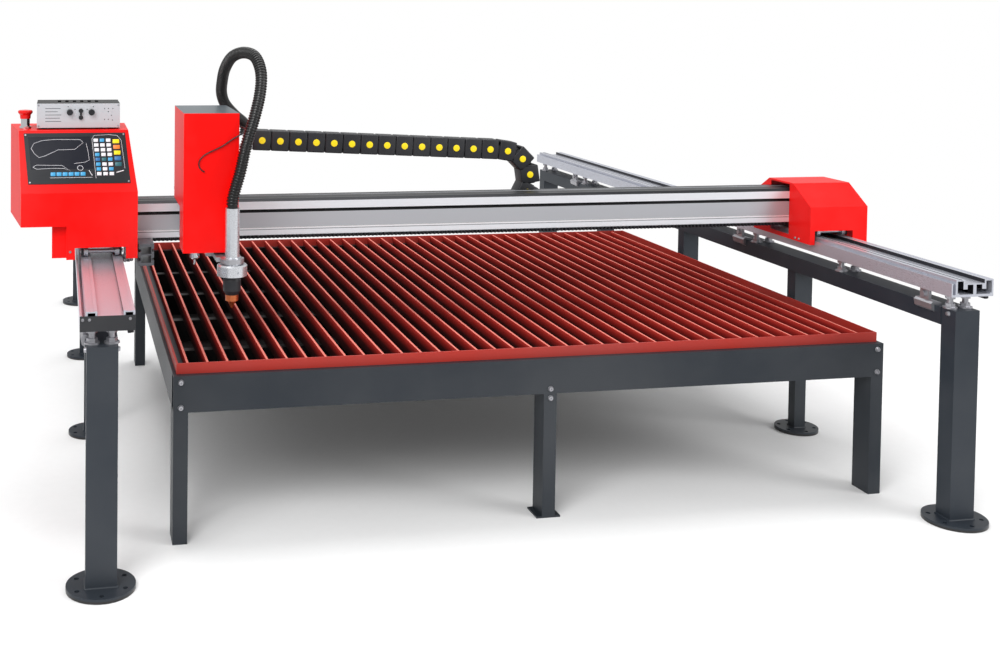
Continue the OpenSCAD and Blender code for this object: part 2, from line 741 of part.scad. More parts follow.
// The panel leans with the console's right side: a four-sided plate between two heights
panel_w = 291;
panel_h = 150;
lean = 0.10;
module lean_plate(x0, x1, y0, y1, z0, z1) {
  translate([0, 0, z0]) linear_extrude(z1 - z0)
    polygon([[x0 - y0 * lean, y0], [x1 - y0 * lean, y0], [x1 - y1 * lean, y1], [x0 - y1 * lean, y1]]);
}

// Left, right, bottom and top edges of the screen, and the corners of the small keys
SCREEN = [-134, 44, -32, 64];
ROW_KEYS = [for (k = [0 : 5]) [-80 + k * 17, -52, 14, 11]];
SIDE_KEYS = [for (kx = [0 : 2], ky = [0 : 7]) [52 + kx * 18, -52 + ky * 14.2, 13, 10]];
TALL_KEYS = [for (ky = [0 : 4]) [107, -25 + ky * 17, 19, 12]];
KEYS = concat(ROW_KEYS, SIDE_KEYS, TALL_KEYS);
module keys(z0, z1, more) {
  for (q = KEYS) lean_plate(q[0] - more, q[0] + q[2] + more, q[1] - more, q[1] + q[3] + more, z0, z1);
}

module control_panel() {
  color([0.13, 0.14, 0.18]) on_slope() difference() {
    lean_plate(-panel_w / 2, panel_w / 2, -panel_h / 2, panel_h / 2, 0, 3);
    lean_plate(SCREEN[0], SCREEN[1], SCREEN[2], SCREEN[3], 1.5, 4);
    keys(1.5, 4, 0.1);
  }
}

module display_screen() {
  color([0.10, 0.11, 0.16]) on_slope() lean_plate(SCREEN[0] + 0.1, SCREEN[1] - 0.1, SCREEN[2] + 0.1, SCREEN[3] - 0.1, 1.5, 2.5);
}

module panel_keys() {
  color([0.8, 0.85, 0.9]) on_slope() keys(1.5, 3.5, 0);
}

// The height control box stands on the console top
hc_x0 = con_l + 81;
hc_w = 241;
hc_y0 = con_y0 + 90;
hc_d = 150;
hc_h = 71;
hc_z = console_top + 5;
knob_xs = [hc_x0 + 95, hc_x0 + 158];
knob_z = hc_z + 46;

module console_screws() {
  color(steel) {
    on_slope() for (sx = [-1, 1], sy = [-1, 1])
      translate([sx * (panel_w / 2 - 5) - sy * (panel_h / 2 - 5) * lean, sy * (panel_h / 2 - 5), 3]) button_head(6, 1.8);
    for (sx = [5, hc_w - 5], sz = [5, hc_h - 5])
      translate([hc_x0 + sx, hc_y0 - 3, hc_z + sz]) rotate([90, 0, 0]) button_head(6, 1.8);
    translate([con_leg_x + 11, con_y0, con_front_z + 23]) rotate([90, 0, 0]) button_head(8, 3);
    for (y = [-817, -796]) translate([cov_x0, y, cov_z + 9]) rotate([0, -90, 0]) button_head(8, 3);
  }
}

module height_case() {
  color(dark) difference() {
    union() {
      translate([hc_x0, hc_y0, hc_z]) cube([hc_w, hc_d, hc_h]);
      for (x = [hc_x0 + 20, hc_x0 + hc_w - 20], y = [hc_y0 + 20, hc_y0 + hc_d - 20])
        translate([x, y, console_top]) cylinder(r = 9, h = 5 + eps);
    }
    translate([hc_x0 + 2, hc_y0 - 1, hc_z + 2]) cube([hc_w - 4, hc_d - 1, hc_h - 4]);
    for (k = [0 : 5]) translate([hc_x0 + 60 + k * 22, hc_y0 + 60, hc_z + hc_h - 3]) cube([10, 60, 4]);
  }
}

module height_front_plate() {
  color(steel) difference() {
    translate([hc_x0, hc_y0 - 3, hc_z]) cube([hc_w, 3, hc_h]);
    for (x = knob_xs) translate([x, 0, knob_z]) rod_y(3 + gap, hc_y0 - 4, hc_y0 + 1);
    translate([hc_x0 + 127, 0, knob_z - 6]) rod_y(3 + gap, hc_y0 - 4, hc_y0 + 1);
    for (k = [0 : 2]) translate([hc_x0 + 190 + k * 14, 0, knob_z]) rod_y(2, hc_y0 - 4, hc_y0 - 2);
  }
}

// Knob with its shaft, turned about Y
module knob(x) {
  color(black) translate([x, 0, knob_z]) difference() {
    union() {
      rod_y(3, hc_y0 - 12, hc_y0 + 10);
      rod_y(8.5, hc_y0 - 20, hc_y0 - 4);
      for (k = [0 : 11]) rotate([0, 30 * k, 0]) translate([8.5, 0, 0]) rod_y(1, hc_y0 - 18, hc_y0 - 4, $fn = 16);
    }
    translate([-0.8, hc_y0 - 21, 2]) cube([1.6, 2, 10]);
  }
}

module left_knob() {
  knob(knob_xs[0]);
}

module right_knob() {
  knob(knob_xs[1]);
}

// Double push button: two round ends on one bar, with one stem
module set_button() {
  color(black) translate([hc_x0 + 127, 0, knob_z - 6]) {
    rod_y(3, hc_y0 - 8, hc_y0 + 8);
    for (s = [-1, 1]) translate([0, 0, s * 10]) rod_y(6.5, hc_y0 - 11, hc_y0 - 6);
    translate([-2.5, hc_y0 - 10, -10]) cube([5, 4, 20]);
  }
}

estop_x = con_l + 47;
estop_y = -745;
module estop_collar() {
  color(steel) translate([estop_x, estop_y, 0]) difference() {
    union() {
      translate([0, 0, console_top]) cylinder(r = 17, h = 6);
      translate([0, 0, console_top - 25]) cylinder(r = 11, h = 30);
      translate([0, 0, console_top + 5]) cylinder(r = 13, h = 30);
    }
    translate([0, 0, console_top - 26]) cylinder(r = 8 + gap, h = 62);
  }
}

// Mushroom head on a stem, with a skirt that slides down over the collar
module estop_button() {
  color(red) translate([estop_x, estop_y, console_top]) {
    translate([0, 0, -20]) cylinder(r = 8, h = 64);
    rotate_extrude() polygon([[0, 42], [13.4, 42], [13.4, 29], [15, 29], [16, 40], [21, 46], [21.5, 50], [19, 53.5], [0, 55.5]]);
  }
}

cov_cut_x0 = rail_xs[1] - 76.5;
cov_cut_x1 = rail_xs[1] + 61.5;
cov_z = rail_top - 22;
// Side outline of the right cover with an inset
module cover_side(i) {
  polygon([[con_y0 + i, cov_z - 2 * i], [con_y0 + i, 789 - i / 2], [con_y0 + 100 + i / 2, cover_top - i],
    [-638 - i / 2, cover_top - i], [-548 - i, 797 - i / 2], [-548 - i, cov_z - 2 * i]]);
}

module right_end_cover() {
  color(red) difference() {
    along_x(cov_x0, cov_x1) cover_side(0);
    along_x(cov_x0 + sheet_t, cov_x1 - sheet_t) cover_side(sheet_t);
    translate([cov_cut_x0, con_y0 - 1, cov_z - 5]) cube([cov_cut_x1 - cov_cut_x0, 400, rail_top + 23 - cov_z + 5]);
    translate([cov_x0 - 1, beam_y0, cov_z + 14]) cube([10, gantry_d + 9, beam_z1 + 15 - cov_z - 14]);
  }
}

// One chain link running along X, centred on the pin line
module chain_link(len) {
  difference() {
    translate([-len / 2, -chain_w / 2, -chain_h / 2]) cube([len, chain_w, chain_h]);
    translate([-len / 2 - 1, -chain_w / 2 + 5, -chain_h / 2 + 5]) cube([len + 2, chain_w - 10, chain_h - 10]);
    translate([-9, -chain_w / 2 + 5, -chain_h]) cube([18, chain_w - 10, 2 * chain_h]);
  }
  for (s = [-1, 1]) translate([0, s * chain_w / 2, 0]) rod_y(dot_d / 2, -1.5, 1.5, $fn = 32);
}

// A straight row of links joined at their sides, with a short lug at each end
module chain_row(x0, x1, z) {
  n = round((x1 - x0) / link_p);
  p = (x1 - x0) / n;
  translate([0, chain_y, z]) for (k = [0 : n]) {
    if (k < n) translate([x0 + (k + 0.5) * p, 0, 0]) chain_link(p - 3);
    for (s = [-1, 1]) translate([max(x0, x0 + k * p - 4), s * (chain_w / 2 - 5) - 1.5, -12])
      cube([(k == 0 || k == n) ? 4 : 8, 3, 24]);
  }
}

module chain_lower_run() {
  color(black) chain_row(low_x0, bend_x + bend_dx - low_back - gap, low_z + chain_r - bend_dz);
}

module chain_upper_run() {
  x1 = bend_x - bend_dx - 1;
  z1 = high_z - chain_r + bend_dz;
  color(black) translate([x1, 0, z1]) rotate([0, asin(up_rise / (x1 - up_x0)), 0])
    translate([-x1, 0, -z1]) chain_row(up_x0 - 0.1, x1, z1);
}

// One wedge-shaped link of the bend, X away from the middle of the loop
module bend_link() {
  mid = chain_r * cos(bend_half);
  r0 = mid - chain_h / 2;
  r1 = mid + chain_h / 2;
  half0 = r0 * tan(bend_half) - 1;
  half1 = chain_r * sin(bend_half) - 1;
  difference() {
    along_y(-chain_w / 2, chain_w / 2) polygon([[r0, -half0], [r1, -half1], [r1, half1], [r0, half0]]);
    translate([r0 + 5, -chain_w / 2 + 5, -half1 - 5]) cube([chain_h - 10, chain_w - 10, 2 * half1 + 10]);
    translate([r0 - 5, -chain_w / 2 + 5, -9]) cube([chain_h + 10, chain_w - 10, 18]);
  }
  for (s = [-1, 1]) translate([mid, s * chain_w / 2, 0]) rod_y(dot_d / 2, -1.5, 1.5, $fn = 32);
}

module chain_bend_links() {
  color(black) translate([bend_x, chain_y, (low_z + high_z) / 2]) {
    for (k = [0 : 4]) rotate([0, 72 - 36 * k - bend_turn, 0]) bend_link();
    for (k = [1 : 4], s = [-1, 1]) rotate([0, 90 - 36 * k - bend_turn, 0])
      translate([chain_r - 13, s * (chain_w / 2 - 4) - 1.5, -8]) cube([24, 3, 16]);
    for (s = [-1, 1]) translate([-bend_dx, s * (chain_w / 2 - 4) - 1.5, bend_dz - 12]) cube([9, 3, 20]);
    for (s = [-1, 1]) translate([bend_dx - low_back, s * (chain_w / 2 - 4) - 1.5, -bend_dz - 8]) cube([9 + low_back, 3, 20]);
  }
}

module cross_pinion() {
  px = box_x + 10;
  color(steel) translate([px, beam_y0 + 2 - cross_r - 0.1, beam_z0 - rack_h]) {
    rotate([0, 0, 90 + (px - cross_x0) / rack_p * 360 / cross_z]) linear_extrude(rack_h - gap) gear_shape(cross_z);
    cylinder(r = 12, h = rack_h + 8);
    cylinder(r = 4, h = rack_h + 34);
  }
}

module carriage_plate() {
  px = box_x + 10;
  py = beam_y0 + 2 - cross_r - 0.1;
  color(steel) difference() {
    union() {
      translate([box_x - 62, plate_y0, box_z0]) cube([124, 12, box_top - 25 - box_z0]);
      translate([box_x - plate_half, plate_y0, cut_z + 4]) cube([2 * plate_half, 12, box_top - 25 - cut_z - 4]);
      translate([box_x - 62, -975, box_z0 + 14]) cube([124, plate_y0 + 975, 12]);
      translate([box_x - plate_half, -975, box_z0 + 14]) cube([2 * plate_half, 25, 12]);
      translate([box_x - 62, box_y0 + 6, box_z0 + 14]) cube([36, -975 - box_y0, 12]);
      translate([box_x - plate_half, -975, box_top - 70]) cube([2 * plate_half, plate_y0 + 975, 12]);
      translate([box_x - 60, plate_y0, beam_z1 + 6]) cube([120, chain_y + 28 - plate_y0, 10]);
      translate([box_x + 46, chain_y - 28, beam_z1 + 6]) cube([14, 56, high_z + up_rise + 20 - beam_z1 - 6]);
      translate([box_x + 46, chain_y - 28, high_z + up_rise - 26]) cube([up_x0 - box_x - 46, 56, 6]);
      translate([up_x0 - 8, chain_y - 28, high_z + up_rise - 26]) cube([8, 56, 46]);
      translate([up_x0 - 44, chain_y - 28, high_z + up_rise + 14]) cube([44, 56, 6]);
      for (sx = [-1, 1], z = [beam_z0 + 20, beam_z1 - 30]) translate([box_x + sx * 45 - 15, plate_y1, z]) cube([30, 4.7, 20]);
    }
    for (s = [-1, 1]) translate([box_x + s * rod_off, lift_y, box_z0]) cylinder(d = rod_d, h = 600);
    translate([box_x, lift_y, box_z0]) cylinder(r = 6 + gap, h = 600);
    translate([px, py, box_z0]) cylinder(r = 14, h = 40);
    translate([px - 22, py - 22, box_z0 + 13]) cube([44, 60, 14]);
  }
}

// One motor drives the pinion, the other one turns the lead screw
module carriage_motors() {
  color(dark) {
    translate([box_x + 10, beam_y0 + 2 - cross_r - 0.1 , box_z0 + 12]) motor(motor_w, 70);
    translate([box_x, lift_y, box_top - 58]) motor(motor_w, 44);
  }
}

// Below this height the sides of the lifter cover end in front of the beam
cut_z = beam_z1 + 12;
module lifter_cover() {
  color(red) difference() {
    translate([box_x0, box_y0, box_z0]) cube([box_w, plate_y1 - box_y0, box_top - box_z0]);
    translate([box_x0 + sheet_t, box_y0 + sheet_t, box_z0 - 1]) cube([box_w - 2 * sheet_t, 400, box_top - box_z0 + 1 - sheet_t]);
    translate([box_x0 - 1, -945, box_z0 - 1]) cube([box_w + 2, 200, cut_z - box_z0 + 1]);
  }
}

module guide_rods() {
  color(steel) for (s = [-1, 1])
    translate([box_x + s * rod_off, lift_y, box_z0 + 10]) cylinder(d = rod_d, h = box_top - 60 - box_z0 - 6);
}

module lead_screw() {
  color(steel) translate([box_x, lift_y, 0]) {
    translate([0, 0, box_z0 + 12]) cylinder(r = 6, h = box_top - 60 - box_z0 - 22);
    translate([0, 0, box_z0 + 12]) cylinder(r = 4, h = box_top - 46 - box_z0 - 12);
  }
}

module probe_cup() {
  color(steel) translate([box_x - 43, box_y0 + 20, box_z0]) {
    translate([0, 0, 3]) cylinder(r = 5, h = 11);
    translate([0, 0, -15]) cylinder(r = 14.5, h = 19);
    translate([0, 0, -20]) cylinder(r1 = 8, r2 = 13, h = 5);
    translate([0, 0, -32]) cylinder(r = 4, h = 13);
    translate([0, 0, -36]) cylinder(r1 = 1.5, r2 = 4, h = 4);
  }
}

// Points of the torch hose from the end of the drag chain to the torch
hose_z0 = high_z + up_rise + 20 + gap;
hose_z1 = box_top - 260;
HOSE = [[up_x0 - 22, chain_y, hose_z0], [up_x0 - 22, chain_y, hose_z0 + 28], [up_x0 - 59, chain_y - 38, box_top - 42],
  [torch_x + 33, chain_y - 80, box_top - 4], [torch_x + 17, -700, box_top + 32], [torch_x + 13, -740, box_top + 70],
  [torch_x + 15, -790, box_top + 113], [torch_x + 27, -860, box_top + 151], [torch_x + 52, -920, box_top + 166],
  [torch_x + 76, -980, box_top + 156], [torch_x + 87, -1020, box_top + 114], [torch_x + 82, -1040, box_top + 56],
  [torch_x + 63, -1060, box_top - 13], [torch_x + 39, -1075, box_top - 86], [torch_x + 21, torch_y + 3, box_top - 160],
  [torch_x + 7, torch_y + 1, box_top - 208], [torch_x, torch_y, box_top - 238], [torch_x, torch_y, hose_z1 + gap]];
lead_x = box_x0 + box_w + gap;
lead_y = box_y0 - gap;
LEAD = [[lead_x, box_y0 + 58, box_top - 44], [lead_x + 9, box_y0 + 58, box_top - 44], [lead_x + 18, box_y0 + 41, box_top - 45],
  [lead_x + 19, box_y0 + 15, box_top - 49], [lead_x + 5, lead_y - 5, box_top - 58], [lead_x - 22, lead_y - 5, box_top - 74],
  [lead_x - 45, lead_y - 5, box_top - 90], [lead_x - 67, lead_y - 5, box_top - 101], [lead_x - 89, lead_y - 5, box_top - 111],
  [lead_x - 105, lead_y - 5, box_top - 122], [lead_x - 114, lead_y - 5, box_top - 136], [lead_x - 113, lead_y - 6, box_top - 150],
  [lead_x - 107, lead_y - 7, box_top - 158], [lead_x - 100, lead_y - 8, box_top - 163],
  [lead_x - 100, lead_y, box_top - 163]];

// Smooth curve through a list of points, and the sweep of rings along it
function cr(p, i, t) = let (n = len(p) - 1, a = p[max(i - 1, 0)], b = p[i], c = p[min(i + 1, n)], d = p[min(i + 2, n)])
  0.5 * (2 * b + (c - a) * t + (2 * a - 5 * b + 4 * c - d) * t * t + (3 * b - a - 3 * c + d) * t * t * t);
function at(p, u) = let (n = len(p) - 1, v = min(u * n, n - 0.00001), i = floor(v)) cr(p, i, v - i);
function unit(v) = v / norm(v);
function tang(p, u) = unit(at(p, min(u + 0.002, 1)) - at(p, max(u - 0.002, 0)));
function ring(c, t, r, ref, s) = let (b = unit(cross(t, ref)), n = cross(b, t))
  [for (k = [0 : s - 1]) c + r * (cos(360 * k / s) * n + sin(360 * k / s) * b)];

// Closed tube skin from rings of equal size, outer rings first and inner rings back again
module skin(rings, s, loop) {
  m = len(rings);
  side = [for (i = [0 : m - (loop ? 1 : 2)]) for (k = [0 : s - 1])
    [i * s + k, ((i + 1) % m) * s + k, ((i + 1) % m) * s + (k + 1) % s, i * s + (k + 1) % s]];
  ends = loop ? [] : [[for (k = [0 : s - 1]) k], [for (k = [s - 1 : -1 : 0]) (m - 1) * s + k]];
  polyhedron(points = [for (r = rings) each r], faces = concat(side, ends), convexity = 12);
}

// End directions that make the tube leave square to what it meets
function path_t(p, u) = u < 0.001 ? unit(p[1] - p[0]) : u > 0.999 ? unit(p[len(p) - 1] - p[len(p) - 2]) : tang(p, u);
ribs = 120;
module torch_hose() {
  ref = [0.857, 0.514, 0];
  us = [for (k = [0 : 2 * ribs]) k / (2 * ribs)];
  out = [for (k = [0 : 2 * ribs]) ring(at(HOSE, us[k]), path_t(HOSE, us[k]),
    (hose_d / 2 - us[k] * 1.2) - (k % 2 == 1 ? 0 : 1.6), ref, 8)];
  back = [for (k = [24 : -1 : 0]) ring(at(HOSE, k / 24), path_t(HOSE, k / 24), hose_d / 2 - 5, ref, 8)];
  color(black) skin(concat(out, back), 8, true);
}

module sensor_lead() {
  n = 40;
  color(black) skin([for (k = [0 : n]) ring(at(LEAD, k / n), path_t(LEAD, k / n), lead_d / 2, [0.1, 0.9, 0.5], 8)], 8, false);
}

// The arm leaves the box below its front sheet and carries the torch ring
arm_z = box_z0 - 20;
arm_t = 13;
ring_z0 = arm_z - 34.5;
module lift_block() {
  color(steel) difference() {
    union() {
      translate([box_x - rod_off - rod_d / 2 - 6, lift_y - 24, 862]) cube([2 * rod_off + rod_d + 12, 48, 66]);
      translate([box_x - 8, lift_y - 62, arm_z]) cube([60, 12, 928 - arm_z]);
      translate([box_x - 8, lift_y - 51, 890]) cube([60, 28, 38]);
      translate([box_x + 12, torch_y + 14, arm_z]) cube([70, lift_y - 50 - torch_y - 14, arm_t]);
      translate([torch_x, torch_y, arm_z]) cylinder(r = 33, h = arm_t);
    }
    for (s = [-1, 1]) translate([box_x + s * rod_off, lift_y, 800]) cylinder(d = rod_d + 2 * gap, h = 200);
    translate([box_x, lift_y, 800]) cylinder(r = 6 + gap, h = 200);
    translate([torch_x, torch_y, arm_z - 1]) cylinder(r = 25, h = arm_t + 2);
  }
}

module breakaway_ring() {
  color(steel) translate([torch_x, torch_y, ring_z0]) difference() {
    union() {
      cylinder(r = 42, h = 27.5);
      translate([0, 0, 27.5]) cylinder(r1 = 42, r2 = 39, h = 4);
      for (k = [0 : 2]) rotate([0, 0, 120 * k + 30]) translate([29.5, 0, 30]) cylinder(r = 3, h = 4.5, $fn = 32);
      translate([0, 0, 31]) cylinder(r = 24, h = 18);
    }
    translate([0, 0, -1]) cylinder(d = torch_d + 0.1, h = 60);
    for (k = [0 : 7]) rotate([0, 0, 45 * k + 10]) translate([0, 0, 42]) rod_y(2, -30, 0, $fn = 24);
    for (k = [0 : 5]) rotate([0, 0, 60 * k + 15]) translate([0, 0, 13]) rod_y(2.5, -50, -36, $fn = 24);
  }
}

head_z1 = ring_z0 - 3;
module torch_tube() {
  color(alu) translate([torch_x, torch_y, 0]) difference() {
    translate([0, 0, head_z1]) cylinder(d = torch_d, h = hose_z1 - head_z1);
    translate([0, 0, head_z1 - 1]) cylinder(d = torch_d - 5, h = hose_z1 - head_z1 + 2);
  }
}

module torch_head() {
  color(black) translate([torch_x, torch_y, head_z1 - 51]) difference() {
    rotate_extrude() polygon([[0, 0], [18, 0], [21, 5], [25, 12], [25, 40], [22, 51], [0, 51]]);
    translate([0, 0, -1]) cylinder(r = 9, h = 30);
  }
}

module torch_nozzle() {
  color(copper) translate([torch_x, torch_y, head_z1 - 89]) difference() {
    union() {
      rotate_extrude() polygon([[0, 0], [2.6, 0], [12, 20], [18, 21.5], [18, 38], [0, 38]]);
      translate([0, 0, 37]) cylinder(r = 8.9, h = 24);
    }
    translate([0, 0, -1]) cylinder(r = 1, h = 80, $fn = 24);
  }
}

rails();
rail_end_cap();
support_tubes();
end_posts();
mid_post_sleeves();
mid_post_legs();
base_plates();
base_pads();
levelling_bolts();
rail_clamps();
travel_racks();
table_frame();
table_legs();
slag_trays();
slat_rim();
slats();
frame_bolts();
gantry_beam();
cross_rack();
chain_tray();
end_trucks();
stub_profile();
drive_motors();
console_housing();
console_back_cover();
control_panel();
display_screen();
panel_keys();
console_screws();
height_case();
height_front_plate();
estop_collar();
right_end_cover();
chain_lower_run();
left_pinion();
right_pinion();
wheels_left_front();
wheels_left_rear();
wheels_right_front();
wheels_right_rear();
cross_pinion();
chain_bend_links();
estop_button();
left_knob();
right_knob();
set_button();
lead_screw();
carriage_plate();
carriage_motors();
lifter_cover();
guide_rods();
probe_cup();
chain_upper_run();
sensor_lead();
torch_hose();
lift_block();
breakaway_ring();
torch_tube();
torch_head();
torch_nozzle();
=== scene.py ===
# %% [markdown]
# # Gantry cutting machine
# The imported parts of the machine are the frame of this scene. Everything here is in metres,
# with the origin on the floor under the middle of the machine, X to the right and Y to the back.

# %% Imports and the frame
import math
import bpy
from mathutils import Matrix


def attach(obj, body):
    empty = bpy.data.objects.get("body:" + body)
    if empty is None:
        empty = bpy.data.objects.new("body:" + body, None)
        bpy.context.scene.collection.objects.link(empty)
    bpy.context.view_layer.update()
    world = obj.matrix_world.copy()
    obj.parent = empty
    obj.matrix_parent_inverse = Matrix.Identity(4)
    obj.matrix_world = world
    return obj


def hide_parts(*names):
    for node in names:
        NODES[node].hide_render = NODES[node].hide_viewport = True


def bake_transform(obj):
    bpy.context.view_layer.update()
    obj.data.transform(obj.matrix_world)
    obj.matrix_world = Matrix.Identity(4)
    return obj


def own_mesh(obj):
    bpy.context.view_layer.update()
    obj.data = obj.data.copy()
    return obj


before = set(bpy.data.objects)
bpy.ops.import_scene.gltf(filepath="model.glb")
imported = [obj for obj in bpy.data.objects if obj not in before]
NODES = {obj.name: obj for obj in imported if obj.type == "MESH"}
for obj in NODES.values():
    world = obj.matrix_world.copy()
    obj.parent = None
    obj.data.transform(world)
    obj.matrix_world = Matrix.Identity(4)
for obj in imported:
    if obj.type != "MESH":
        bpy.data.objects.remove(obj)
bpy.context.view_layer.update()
print("frame loaded,", len(NODES), "nodes")

# %% [markdown]
# ## Camera
# The camera stands 1.42 m above the floor in front of the left rail. It was solved from the
# straight edges in the photograph. Its lens is shifted sideways and down, so that upright posts
# stay upright in the picture.

# %% Camera
from mathutils import Matrix, Vector
yaw, pitch, roll = 0.1935, 0.0340, -0.0110
c, s = math.cos(yaw), math.sin(yaw)
cp, sp = math.cos(pitch), math.sin(pitch)
cr, sr = math.cos(roll), math.sin(roll)
forward = Vector((cp * s, cp * c, -sp))
right0, up0 = Vector((c, -s, 0)), Vector((sp * s, sp * c, cp))
right = cr * right0 - sr * up0
up = sr * right0 + cr * up0
CAMERA_AT = (-1.229, -4.448, 1.42)
bpy.ops.object.camera_add(location=CAMERA_AT)
cam = bpy.context.object
cam.name = "camera"
turned = Matrix((right, up, -forward)).transposed().to_4x4()
cam.matrix_world = Matrix.Translation(CAMERA_AT) @ turned
cam.data.sensor_width = 36
cam.data.lens = 44.1
cam.data.shift_x = 0.2
cam.data.shift_y = -0.286
cam.data.clip_end = 60
bpy.context.scene.camera = cam
print("camera at", tuple(round(v, 3) for v in cam.location))

# %% [markdown]
# ## Small modelling steps
# Each helper is a step that a person would do by hand: add a shape, size it, round its edges,
# and leave its origin at the world's origin.

# %% Modelling helpers
def only(o):
    bpy.ops.object.select_all(action="DESELECT")
    o.select_set(True)
    bpy.context.view_layer.objects.active = o


def applied(o, *mods):
    only(o)
    for m in mods:
        bpy.ops.object.modifier_apply(modifier=m.name)
    return o


def settled(o, name):
    only(o)
    bpy.ops.object.transform_apply(location=True, rotation=True, scale=True)
    o.name = name
    return o


def rounded(o, width, segments=2, angle=35):
    m = o.modifiers.new("bevel", "BEVEL")
    m.width, m.segments, m.limit_method, m.angle_limit = width, segments, "ANGLE", math.radians(angle)
    applied(o, m)
    bpy.ops.object.shade_smooth_by_angle(angle=math.radians(40))
    return o


def block(name, lo, hi, edge=0.0006, segments=2):
    mid = [(a + b) / 2 for a, b in zip(lo, hi)]
    bpy.ops.mesh.primitive_cube_add(size=1, location=mid)
    o = bpy.context.object
    o.scale = [b - a for a, b in zip(lo, hi)]
    return rounded(settled(o, name), edge, segments)


def disc(name, centre, r, depth, turn=(0, 0, 0), edge=0.0005, sides=48, top=None):
    if top is None:
        bpy.ops.mesh.primitive_cylinder_add(vertices=sides, radius=r, depth=depth, location=centre, rotation=turn)
    else:
        bpy.ops.mesh.primitive_cone_add(vertices=sides, radius1=r, radius2=top, depth=depth, location=centre, rotation=turn)
    return rounded(settled(bpy.context.object, name), edge)


def joined(name, pieces):
    only(pieces[0])
    for p in pieces:
        p.select_set(True)
    bpy.ops.object.join()
    o = bpy.context.object
    o.name = name
    return o


def row_of(o, count, step):
    m = o.modifiers.new("row", "ARRAY")
    m.use_relative_offset, m.use_constant_offset = False, True
    m.count, m.constant_offset_displace = count, step
    return applied(o, m)


def smooth_path(points, per=12):
    out = []
    n = len(points) - 1
    pts = [Vector(p) for p in points]
    for i in range(n):
        a, b, d, e = pts[max(i - 1, 0)], pts[i], pts[i + 1], pts[min(i + 2, n)]
        for k in range(per):
            t = k / per
            out.append(0.5 * (2 * b + (d - a) * t + (2 * a - 5 * b + 4 * d - e) * t * t + (3 * b - a - 3 * d + e) * t ** 3))
    return out + [pts[-1]]


def path_curve(name, points, bevel=0.0):
    data = bpy.data.curves.new(name, "CURVE")
    data.dimensions = "3D"
    line = data.splines.new("POLY")
    line.points.add(len(points) - 1)
    for p, v in zip(line.points, points):
        p.co = (*v, 1)
    data.bevel_depth = bevel
    data.bevel_resolution = 4
    data.use_fill_caps = True
    o = bpy.data.objects.new(name, data)
    bpy.context.collection.objects.link(o)
    return o


def length_of(points):
    return sum((Vector(b) - Vector(a)).length for a, b in zip(points, points[1:]))


print("helpers ready")

# %% [markdown]
# ## Materials
# One small class lets shader maths read as maths. Every finish has grain, wear, a changing
# roughness and a fine bump, all made from noise on Object coordinates.

# %% Shader helpers
class Val:
    """A value inside one material, which adds, multiplies and mixes like a number."""

    def __init__(self, tree, socket):
        self.tree, self.socket = tree, socket

    def _op(self, op, other):
        n = self.tree.nodes.new("ShaderNodeMath")
        n.operation = op
        self.tree.links.new(self.socket, n.inputs[0])
        if isinstance(other, Val):
            self.tree.links.new(other.socket, n.inputs[1])
        else:
            n.inputs[1].default_value = other
        return Val(self.tree, n.outputs[0])

    def __add__(self, o):
        return self._op("ADD", o)

    def __sub__(self, o):
        return self._op("SUBTRACT", o)

    def __mul__(self, o):
        return self._op("MULTIPLY", o)

    def __gt__(self, o):
        return self._op("GREATER_THAN", o)

    def __lt__(self, o):
        return self._op("LESS_THAN", o)

    def node(self, kind, out=0, **inputs):
        n = self.tree.nodes.new(kind)
        for key, v in inputs.items():
            key = key.replace("_", " ")
            if isinstance(v, Val):
                self.tree.links.new(v.socket, n.inputs[key])
            else:
                n.inputs[key].default_value = v
        return Val(self.tree, n.outputs[out])


def lin(rgb):
    return tuple(v / 12.92 if v <= 0.04045 else ((v + 0.055) / 1.055) ** 2.4 for v in rgb) + (1.0,)


def ramp(v, stops, hard=False):
    n = v.tree.nodes.new("ShaderNodeValToRGB")
    v.tree.links.new(v.socket, n.inputs[0])
    if hard:
        n.color_ramp.interpolation = "CONSTANT"
    els = n.color_ramp.elements
    els[0].position, els[0].color = stops[0][0], stops[0][1]
    els[1].position, els[1].color = stops[-1][0], stops[-1][1]
    for pos, col in stops[1:-1]:
        els.new(pos).color = col
    return Val(v.tree, n.outputs[0])


def blend_colour(a, b, factor):
    n = factor.tree.nodes.new("ShaderNodeMix")
    n.data_type = "RGBA"
    factor.tree.links.new(factor.socket, n.inputs[0])
    for v, k in ((a, 6), (b, 7)):
        if isinstance(v, Val):
            factor.tree.links.new(v.socket, n.inputs[k])
        else:
            n.inputs[k].default_value = v
    return Val(factor.tree, n.outputs[2])


